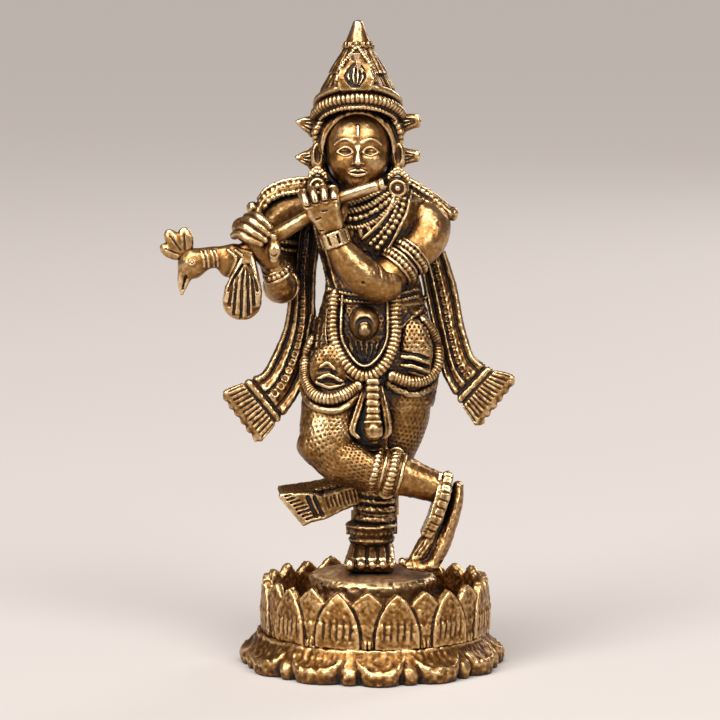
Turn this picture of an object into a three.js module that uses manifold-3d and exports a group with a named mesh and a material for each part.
// A standing flute player on a lotus base, cast in brass from hand-assembled wax pieces.
// Millimetres, +Z up. The figure faces -Y, and its left side is at +X.
// The origin is the centre of the flat underside that the base rests on.
import * as THREE from 'three';
import { mergeVertices } from 'three/addons/utils/BufferGeometryUtils.js';
import Module from 'manifold-3d';

const wasm = await Module();
wasm.setup();

// ---- driving dimensions ----
const HEIGHT = 140;               // underside to the tip of the crown
const GAP = 0.3;                  // space left between touching pieces
const PETAL_COUNT = 12;           // large petals around the base
const SKIRT_RADIUS = 28.9;
const SKIRT_EDGE_HEIGHT = 4;
const SKIRT_HEIGHT = 7;
const BOWL_RADIUS = 25.6;
const BOWL_FLOOR = 12;            // upper face of the floor inside the petal ring
const BOWL_HEIGHT = 19;           // tips of the upright petals
const BOWL_WALL = 3;
const PLINTH_RADIUS = 14;
const PLINTH_EDGE_HEIGHT = 19.2;
const PLINTH_TOP = 21.2;
const AXIS_X = -3.1;              // the head, the crown and its tip share this vertical line
const ROPE_RADIUS = 1.4;          // rolled cords of the garlands and hip swags
const ROUND = 48;                 // facets around the base

// ---- colours ----
const POLISHED = { color: 0x9c7c3c, roughness: 0.38, metalness: 1 };
const AGED = { color: 0x6f5326, roughness: 0.5, metalness: 1 };
const WARM = { color: 0x8a6030, roughness: 0.48, metalness: 1 };

const at = (x, y, z) => new THREE.Vector3(x, y, z);
const DEPTH_AXIS = at(0, 1, 0);
const HEIGHT_AXIS = at(0, 0, 1);

// ---- from a three.js geometry to a solid and back ----
function solid(geometry) {
  const bare = geometry.clone();
  bare.deleteAttribute('normal');
  bare.deleteAttribute('uv');
  const merged = mergeVertices(bare, 1e-4);
  const corners = merged.index.array;
  const kept = [];
  for (let i = 0; i < corners.length; i += 3) {
    const [a, b, c] = [corners[i], corners[i + 1], corners[i + 2]];
    if (a !== b && b !== c && c !== a) kept.push(a, b, c);
  }
  return new wasm.Manifold(new wasm.Mesh({
    numProp: 3,
    vertProperties: new Float32Array(merged.attributes.position.array),
    triVerts: new Uint32Array(kept),
  }));
}

function geometryOf(body) {
  const mesh = body.getMesh();
  const geometry = new THREE.BufferGeometry();
  geometry.setAttribute('position', new THREE.BufferAttribute(mesh.vertProperties, 3));
  geometry.setIndex(new THREE.BufferAttribute(mesh.triVerts, 1));
  geometry.computeVertexNormals();
  return geometry;
}

// ---- shapes: each takes how far its skin is grown outwards, to cut a clearance ----

// A tube of changing oval section along a smooth curve. Each size is a radius or [across, deep].
function limb(points, sizes, grow = 0, { sides = 8, steps = 2, deepAxis = DEPTH_AXIS } = {}) {
  const curve = new THREE.CatmullRomCurve3(points, false, 'centripetal');
  const spans = points.length - 1;
  const tube = new THREE.CylinderGeometry(1, 1, 1, sides, spans * steps);
  const place = tube.attributes.position;
  for (let i = 0; i < place.count; i++) {
    const along = place.getY(i) + 0.5;
    const tangent = curve.getTangent(along);
    const deep = deepAxis.clone().addScaledVector(tangent, -deepAxis.dot(tangent)).normalize();
    const across = tangent.clone().cross(deep);
    const span = Math.min(Math.floor(along * spans), spans - 1);
    const blend = along * spans - span;
    const [fromAcross, fromDeep] = [sizes[span]].flat();
    const [toAcross, toDeep] = [sizes[span + 1]].flat();
    const wide = THREE.MathUtils.lerp(fromAcross, toAcross, blend) + grow;
    const thick = THREE.MathUtils.lerp(fromDeep ?? fromAcross, toDeep ?? toAcross, blend) + grow;
    const overrun = along < 1e-6 ? -grow : along > 1 - 1e-6 ? grow : 0;
    const spot = curve.getPoint(along).addScaledVector(tangent, overrun);
    spot.addScaledVector(across, place.getX(i) * wide);
    spot.addScaledVector(deep, place.getZ(i) * thick);
    place.setXYZ(i, spot.x, spot.y, spot.z);
  }
  return solid(tube);
}

function ball(centre, [rx, ry, rz], grow = 0, around = 8, down = 6) {
  const sphere = new THREE.SphereGeometry(1, around, down);
  sphere.rotateX(Math.PI / 2);
  sphere.scale(rx + grow, ry + grow, rz + grow);
  sphere.translate(centre.x, centre.y, centre.z);
  return solid(sphere);
}

// A ring around the given axis.
function hoop(centre, axis, radius, thickness, grow = 0, around = 12) {
  const torus = new THREE.TorusGeometry(radius, thickness + grow, 5, around);
  const turn = new THREE.Quaternion().setFromUnitVectors(HEIGHT_AXIS, axis.clone().normalize());
  torus.applyQuaternion(turn);
  torus.translate(centre.x, centre.y, centre.z);
  return solid(torus);
}

// A turned body about a vertical axis through (x, y). The profile is [radius, height] pairs.
function turned(profile, x = 0, y = 0, around = ROUND, shape = null) {
  const lathe = new THREE.LatheGeometry(profile.map(([r, z]) => new THREE.Vector2(r, z)), around);
  lathe.rotateX(Math.PI / 2);
  if (shape) {
    const place = lathe.attributes.position;
    for (let i = 0; i < place.count; i++) {
      const [px, py, pz] = shape(place.getX(i), place.getY(i), place.getZ(i));
      place.setXYZ(i, px, py, pz);
    }
  }
  lathe.translate(x, y, 0);
  return solid(lathe);
}

// 1 on the middle line of each large petal, falling to 0 between two petals.
function petalWave(x, y) {
  const turn = (Math.atan2(y, x) * PETAL_COUNT) / 2;
  return Math.abs(Math.cos(turn));
}

// ---- lotus base ----
function lotusSkirt() {
  const inset = 1.4;
  const profile = [
    [0, 0], [SKIRT_RADIUS - 0.4, 0], [SKIRT_RADIUS, 0.8], [SKIRT_RADIUS, SKIRT_EDGE_HEIGHT - 1],
    [SKIRT_RADIUS - 0.9, SKIRT_EDGE_HEIGHT], [BOWL_RADIUS, SKIRT_HEIGHT], [0, SKIRT_HEIGHT],
  ];
  return turned(profile, 0, 0, ROUND, (x, y, z) => {
    const radius = Math.hypot(x, y);
    if (radius < BOWL_RADIUS + 0.5) return [x, y, z];
    const scale = (radius - inset * (1 - petalWave(x, y))) / radius;
    return [x * scale, y * scale, z];
  });
}

function lotusBowl() {
  const valley = 2.6;
  const inner = BOWL_RADIUS - BOWL_WALL;
  const profile = [
    [0, SKIRT_HEIGHT + GAP], [BOWL_RADIUS - 0.8, SKIRT_HEIGHT + GAP], [BOWL_RADIUS, BOWL_FLOOR],
    [BOWL_RADIUS - 0.3, BOWL_HEIGHT - 2.5], [BOWL_RADIUS - 1.4, BOWL_HEIGHT],
    [inner, BOWL_HEIGHT - 1], [inner, BOWL_FLOOR], [0, BOWL_FLOOR],
  ];
  return turned(profile, 0, 0, ROUND, (x, y, z) => {
    if (z < BOWL_HEIGHT - 2) return [x, y, z];
    return [x, y, z - valley * (1 - petalWave(x, y))];
  });
}

function plinth() {
  return turned([
    [0, BOWL_FLOOR + GAP], [PLINTH_RADIUS - 0.4, BOWL_FLOOR + GAP], [PLINTH_RADIUS, PLINTH_EDGE_HEIGHT],
    [PLINTH_RADIUS - 1.2, PLINTH_EDGE_HEIGHT + 0.7], [PLINTH_RADIUS / 2, PLINTH_TOP - 0.4],
    [0, PLINTH_TOP],
  ], 0, 0, 32);
}

// ---- body under the clothes ----
const torso = grow => {
  const chest = limb(
    [at(0.3, 0, 79.4), at(0, -0.3, 87), at(-0.4, -0.3, 95), at(-0.7, 0, 101), at(-0.8, 0, 103.8)],
    [[10.6, 6.4], [10, 6.6], [12.6, 7], [12.8, 6.2], [7, 4.6]], grow, { sides: 12 });
  const neck = limb([at(-2, -0.4, 101), at(-2.9, -1, 106.8)], [[4.8, 4.4], [4.4, 4.4]], grow);
  return chest.add(neck);
};

const hips = grow => limb(
  [at(0.3, 0, 79), at(0.3, 0, 73), at(0.5, 0.3, 65.5), at(0.5, 0.3, 59)],
  [[11.2, 6.6], [12.6, 7.4], [14.8, 8.2], [13.4, 7.6]], grow, { sides: 14 });

const head = grow => ball(at(AXIS_X, -1.2, 112.3), [7.8, 7.3, 8.4], grow, 12, 9);

const hair = grow => ball(at(AXIS_X, 1.8, 111.6), [9.4, 7.2, 7.4], grow, 12, 8);

// ---- legs ----
const standingThigh = grow => limb(
  [at(6.6, 0.2, 61), at(5.8, 0, 54), at(3.7, 0, 46.5), at(1.4, 0, 39.8)],
  [[7.2, 7.2], [6.7, 6.8], [5.6, 5.8], [4.3, 4.6]], grow);

const standingShin = grow => limb(
  [at(1, 0, 39.4), at(0.8, 0, 32), at(-0.2, 0, 26.4)], [[4, 4.2], 3.5, [4, 4]], grow);

const standingFoot = grow => limb(
  [at(-0.2, 3.5, 23.7), at(-0.2, -2, 24), at(-0.3, -8.5, 22.9)],
  [[4, 1.9], [4.8, 2.2], [5.6, 1.7]], grow, { deepAxis: HEIGHT_AXIS });

const crossedThigh = grow => limb(
  [at(-6.8, -1, 61), at(-8.4, -3.3, 54.5), at(-8.8, -5.5, 48.8), at(-6.6, -6.6, 45.2), at(-1.2, -7.4, 43.4)],
  [[7.4, 7.2], [6.8, 6.8], [5.8, 5.8], [5.2, 5], [5, 4.6]], grow);

const crossedCalf = grow => limb(
  [at(-2, -7.4, 43.4), at(4.5, -7.8, 41.8), at(9.5, -7.5, 40), at(13.6, -7.2, 38.8)],
  [[4.4, 4.2], [4.5, 4.2], [3.9, 3.6], [3.5, 3.3]], grow);

const crossedFoot = grow => limb(
  [at(18, -6.4, 40.8), at(17.2, -6.6, 37), at(15.4, -6.9, 31.5), at(13.2, -7.2, 26.5), at(11, -7.6, 22.6)],
  [[1.5, 2], [2.2, 3], [2.4, 3.3], [2.4, 3.3], [2, 2.6]], grow);

// ---- clothes and jewellery below the waist ----
const crossedAnkleBand = grow => limb(
  [at(15.2, -7, 43.4), at(14.6, -7.6, 38.5), at(12.9, -8, 33), at(11.2, -7.8, 28.4)],
  [[1.3, 3], [1.4, 4.4], [1.4, 4.4], [1, 3]], grow);

const hemRope = (x, z, radius) => grow => hoop(at(x, -7.7, z), at(1, 0, -0.28), radius, 1.2, grow);

const shinRing = (x, z, radius, thickness) => grow =>
  hoop(at(x, 0, z), HEIGHT_AXIS, radius, thickness, grow);

const dhotiTail = grow => limb(
  [at(-1.6, 2, 38.6), at(-7, 0.5, 36.2), at(-13, -1.4, 34.4), at(-18, -2.3, 34)],
  [[3.2, 2], [3.6, 1.8], [4, 1.5], [4.6, 1.2]], grow);

const waistGarland = grow => limb(
  [at(-7.7, -6.2, 81.4), at(-7.9, -7.4, 75), at(-6.4, -8.6, 69), at(-1.6, -9.4, 64.6), at(3.4, -9, 68.6),
    at(4.8, -8, 75.2), at(4.8, -6.8, 81.4)],
  Array(7).fill(ROPE_RADIUS), grow, { sides: 6 });

const beltBoss = grow => ball(at(-1.8, -7.6, 75.4), [3.5, 3, 4], grow);

const pendantSash = grow => limb(
  [at(0.2, -8.6, 63), at(0.2, -9.2, 56), at(0.2, -9.6, 53), at(0.2, -9.8, 50.8)],
  [[1.8, 1.6], [1.7, 1.8], [2.2, 2.2], [1.2, 1.2]], grow);

const hipSwagRight = grow => limb(
  [at(-12.8, -5, 71), at(-13.8, -6.2, 64.7), at(-10.3, -8, 60), at(-4.8, -8.6, 59.8), at(-1.6, -8.8, 62)],
  Array(5).fill(ROPE_RADIUS), grow, { sides: 6 });

const hipSwagLeft = grow => limb(
  [at(11, -5, 76), at(14.2, -5.6, 70.4), at(14.4, -6.2, 65.5), at(10.4, -7.8, 62.2), at(5.4, -8.6, 62.4)],
  Array(5).fill(ROPE_RADIUS), grow, { sides: 6 });

const hipPanelRight = grow => ball(at(-8, -6.6, 66), [4.8, 2.6, 5], grow);

const hipPanelLeft = grow => ball(at(10, -6, 69), [4, 2.6, 6.4], grow);

const sashRight = grow => limb(
  [at(-15.6, 3.4, 85), at(-15.5, 3, 76), at(-16.6, 2, 68.5), at(-19, 1, 62.4), at(-23, 0, 58.6),
    at(-27.6, -0.4, 54.8)],
  [[2.2, 1.2], [2.4, 1.2], [3.2, 1.3], [4, 1.3], [5, 1.2], [6.8, 1]], grow);

const sashLeft = grow => limb(
  [at(11.4, 4, 93), at(13.6, 4.4, 86), at(15.8, 3.8, 79), at(17.2, 2.6, 71), at(19, 1.4, 64.6), at(23, 0.4, 60.6),
    at(27.4, 0, 57.4)],
  [[2.4, 1.2], [3, 1.2], [3.5, 1.3], [3.6, 1.3], [3.8, 1.3], [4.8, 1.2], [6.8, 1]], grow);

// ---- chest and shoulders ----
const necklaceUpper = grow => limb(
  [at(-9, -3.6, 103.6), at(-5.8, -6.8, 101), at(-2.2, -8, 99.2), at(1.8, -7.6, 99.8), at(5.4, -4.6, 103)],
  Array(5).fill([1, 1.5]), grow, { sides: 6 });

const necklaceLower = grow => limb(
  [at(-9.6, -4.6, 99.6), at(-5.6, -7, 97.6), at(-1.8, -7.8, 95.6), at(2.6, -7.8, 96.4), at(6.2, -6.4, 99.6),
    at(8.4, -4, 102.6)],
  Array(6).fill([1.3, 1.5]), grow, { sides: 6 });

const chestDrape = grow => limb(
  [at(9, -5, 99.2), at(6.2, -7.2, 95.2), at(3, -7.8, 91.2)], Array(3).fill([1.5, 1.5]), grow, { sides: 6 });

const garlandRight = grow => limb(
  [at(-10, 1, 104), at(-13, 1, 104.4), at(-17, 1, 103.6), at(-21, 0.8, 101.6), at(-24.2, 0.6, 98.8),
    at(-27, 0.6, 99.6)],
  [1.6, 1.9, 2, 1.9, 1.5, 1.3], grow, { sides: 6 });

const garlandLeft = grow => limb(
  [at(7.4, 1, 104.4), at(10, 1, 103), at(13, 0.8, 101), at(16.2, 0.6, 98.6), at(17.8, 0.6, 97.4)],
  [1.5, 1.8, 1.9, 1.7, 1.2], grow, { sides: 6 });

// ---- arms and hands ----
const leftUpperArm = grow => limb(
  [at(12.6, 0, 99.4), at(13, -1.6, 95), at(8.4, -4.6, 89.4), at(3.6, -7.2, 84.4)],
  [[3.6, 3.8], [4.4, 4.4], [4.3, 4.2], [4, 4]], grow);

const leftForearm = grow => limb(
  [at(2.8, -8, 83.6), at(-1.2, -9.6, 85), at(-4.8, -10.6, 88.8), at(-7.7, -11.2, 93)],
  [[3, 3.4], [4.4, 4], [3.8, 3.4], [2.8, 2.4]], grow);

const armlet = (x, y, z) => grow => hoop(at(x, y, z), at(4.8, 2.7, 5), 4.5, 0.75, grow);

const leftBangle = grow => hoop(at(-8, -11.3, 94), at(-0.55, -0.05, 1), 2.7, 0.9, grow);

const leftHand = grow => limb(
  [at(-8.6, -11.6, 95.4), at(-9.4, -12.2, 98), at(-10.4, -12.4, 101), at(-10.9, -11.4, 103.6)],
  [[2.8, 1.8], [3.6, 2.2], [3.9, 2.4], [3.2, 1.6]], grow);

const rightUpperArm = grow => limb(
  [at(-13.6, 1, 99.4), at(-17.6, 1.4, 96.6), at(-19.8, 1, 90), at(-19.4, 0, 84)],
  [[3.8, 4], [4.4, 4.2], [3.9, 3.8], [3.4, 3.4]], grow);

const rightForearm = grow => limb(
  [at(-19.6, -0.6, 82.6), at(-21.4, -3, 83.6), at(-22.6, -5.4, 86.4), at(-23.4, -6.6, 89)],
  [[3, 3], [3.3, 3.3], [2.9, 2.9], [2.5, 2.5]], grow);

const rightBangle = grow => hoop(at(-22.7, -5.6, 86.6), at(-0.25, -0.45, 1), 2.9, 0.8, grow);

const rightHand = grow => limb(
  [at(-29, -8.4, 92.2), at(-27.4, -10, 94.8), at(-24, -11, 96.4), at(-21, -11.4, 94), at(-20.6, -11.4, 89.4)],
  [[1.8, 2], [2.8, 2.6], [2.8, 2.4], [2.2, 1.8], [1.4, 1.2]], grow);

// ---- flute with its bird ----
const flute = grow => limb(
  [at(2.2, -10.5, 105.3), at(-7.3, -10.5, 102.3), at(-15.4, -9.6, 97.6), at(-20.4, -9, 94.4), at(-28, -8.2, 90.4)],
  [1.3, 1.6, 2, 2.5, 2.4], grow);

const birdBody = grow => limb(
  [at(-28.6, -8, 90.4), at(-32.4, -8, 90.8), at(-36, -8, 90.4), at(-38.8, -8, 88.4), at(-40.3, -8, 85.4),
    at(-40.9, -8, 81.8)],
  [2.2, 1.8, 2.1, 3, 2.1, 0.5], grow);

const birdCrest = grow => limb(
  [at(-40.4, -8, 90.2), at(-42, -8, 92.4), at(-43.6, -8, 94.4)],
  [[1.6, 1], [3.4, 1.3], [2.2, 0.9]], grow);

const birdTail = grow => limb(
  [at(-28.6, -9.2, 89), at(-28.8, -9.8, 86), at(-28.8, -9.8, 81), at(-28.4, -9.4, 76)],
  [[1.8, 1], [3.8, 1.3], [4.9, 1.4], [2, 0.8]], grow);

// ---- head-dress ----
const CROWN_TILT = THREE.MathUtils.degToRad(28);
const crownAxis = at(0, Math.sin(CROWN_TILT), Math.cos(CROWN_TILT));

const crownRope = grow => hoop(at(AXIS_X, -0.2, 119.2), crownAxis, 9.3, 1.1, grow, 16);

const crownBand = grow => hoop(at(AXIS_X, 0.2, 121.8), crownAxis, 9, 0.9, grow, 16);

const crownCone = grow => limb(
  [at(AXIS_X, 1, 118), at(AXIS_X, 0.4, 123), at(AXIS_X, 0, 127.6), at(AXIS_X, 0, 131), at(AXIS_X, 0, 133.7)],
  [[8.4, 8], [8.7, 8.3], [6.6, 6.4], [4.5, 4.4], [2.9, 2.9]], grow, { sides: 12 });

const crownPlaque = grow => limb(
  [at(-4, -7.4, 126.6), at(-4, -6.7, 128), at(-3.8, -5.4, 130.4), at(-3.4, -3.8, 133)],
  [[3.4, 0.8], [4, 0.9], [3, 0.9], [0.8, 0.7]], grow);

const crownFinial = grow => turned([
  [0, 134], [2.8, 134], [3.2 + grow, 134.7], [2.4 + grow, 135.5], [0.9 + grow, HEIGHT - 0.3], [0, HEIGHT],
], AXIS_X, 0, 12);

const earFlower = (x, z, wide, tall) => grow => ball(at(x, 0.4, z), [wide, 1.6, tall], grow);

const earring = (x, z) => grow => limb(
  [at(x, -2.4, z), at(x, -5, z)], [2.5, 2.5], grow, { sides: 10, steps: 1, deepAxis: HEIGHT_AXIS });

// ---- every figure piece, innermost first: a later piece is trimmed to clear the earlier ones ----
const figure = [
  ['torso', torso, AGED],
  ['hips', hips, AGED],
  ['head', head, POLISHED],
  ['standing_foot', standingFoot, POLISHED],
  ['standing_shin', standingShin, AGED],
  ['standing_thigh', standingThigh, POLISHED],
  ['crossed_calf', crossedCalf, POLISHED],
  ['crossed_thigh', crossedThigh, POLISHED],
  ['crossed_foot', crossedFoot, POLISHED],
  ['left_forearm', leftForearm, POLISHED],
  ['left_upper_arm', leftUpperArm, POLISHED],
  ['right_upper_arm', rightUpperArm, POLISHED],
  ['right_forearm', rightForearm, POLISHED],
  ['flute', flute, POLISHED],
  ['bird_body', birdBody, POLISHED],
  ['bird_crest', birdCrest, POLISHED],
  ['bird_tail', birdTail, POLISHED],
  ['left_hand', leftHand, POLISHED],
  ['right_hand', rightHand, POLISHED],
  ['left_bangle', leftBangle, POLISHED],
  ['right_bangle', rightBangle, POLISHED],
  ['left_armlet_upper', armlet(8.9, -4.4, 90.1), POLISHED],
  ['left_armlet_lower', armlet(6.8, -5.6, 87.9), POLISHED],
  ['crossed_ankle_band', crossedAnkleBand, POLISHED],
  ['hem_rope_inner', hemRope(1.6, 42.8, 4.9), POLISHED],
  ['hem_rope_outer', hemRope(4.8, 41.9, 4.9), POLISHED],
  ['shin_ring_lower', shinRing(-0.1, 28.3, 4.4, 1.3), AGED],
  ['shin_ring_middle', shinRing(0.5, 31.2, 3.6, 0.9), AGED],
  ['shin_ring_upper', shinRing(0.8, 33.8, 3.6, 0.9), AGED],
  ['pendant_sash', pendantSash, POLISHED],
  ['waist_garland', waistGarland, POLISHED],
  ['belt_boss', beltBoss, AGED],
  ['hip_swag_right', hipSwagRight, POLISHED],
  ['hip_swag_left', hipSwagLeft, POLISHED],
  ['hip_panel_right', hipPanelRight, POLISHED],
  ['hip_panel_left', hipPanelLeft, POLISHED],
  ['sash_tail_right', sashRight, POLISHED],
  ['sash_tail_left', sashLeft, POLISHED],
  ['dhoti_tail', dhotiTail, POLISHED],
  ['necklace_upper', necklaceUpper, POLISHED],
  ['necklace_lower', necklaceLower, POLISHED],
  ['chest_drape', chestDrape, POLISHED],
  ['shoulder_garland_right', garlandRight, POLISHED],
  ['shoulder_garland_left', garlandLeft, POLISHED],
  ['crown_cone', crownCone, POLISHED],
  ['crown_rope_band', crownRope, POLISHED],
  ['crown_band', crownBand, POLISHED],
  ['hair', hair, AGED],
  ['crown_plaque', crownPlaque, POLISHED],
  ['crown_finial', crownFinial, POLISHED],
  ['earring_right', earring(-11.4, 104.6), POLISHED],
  ['earring_left', earring(5.5, 104.2), POLISHED],
  ['ear_flower_upper_right', earFlower(-13.4, 117.4, 2.8, 2.1), POLISHED],
  ['ear_flower_lower_right', earFlower(-14, 110.3, 2.2, 2.4), POLISHED],
  ['ear_flower_upper_left', earFlower(7.4, 118, 2.2, 2.2), POLISHED],
  ['ear_flower_lower_left', earFlower(7.4, 110.4, 2, 1.9), POLISHED],
];

const statue = new THREE.Group();

function addPiece(name, body, finish) {
  const mesh = new THREE.Mesh(geometryOf(body), new THREE.MeshStandardMaterial(finish));
  mesh.name = name;
  statue.add(mesh);
}

function boxesMeet(a, b) {
  return [0, 1, 2].every(k => a.min[k] <= b.max[k] + GAP && b.min[k] <= a.max[k] + GAP);
}

addPiece('lotus_skirt', lotusSkirt(), WARM);
addPiece('lotus_bowl', lotusBowl(), WARM);
const plinthBody = plinth();
addPiece('plinth', plinthBody, AGED);

const cutters = [{ box: plinthBody.boundingBox(), body: plinthBody.translate([0, 0, GAP]) }];
for (const [name, shape, finish] of figure) {
  let body = shape(0);
  const box = body.boundingBox();
  for (const cutter of cutters) {
    if (boxesMeet(box, cutter.box)) body = body.subtract(cutter.body);
  }
  addPiece(name, body, finish);
  cutters.push({ box, body: shape(GAP) });
}

export default statue;
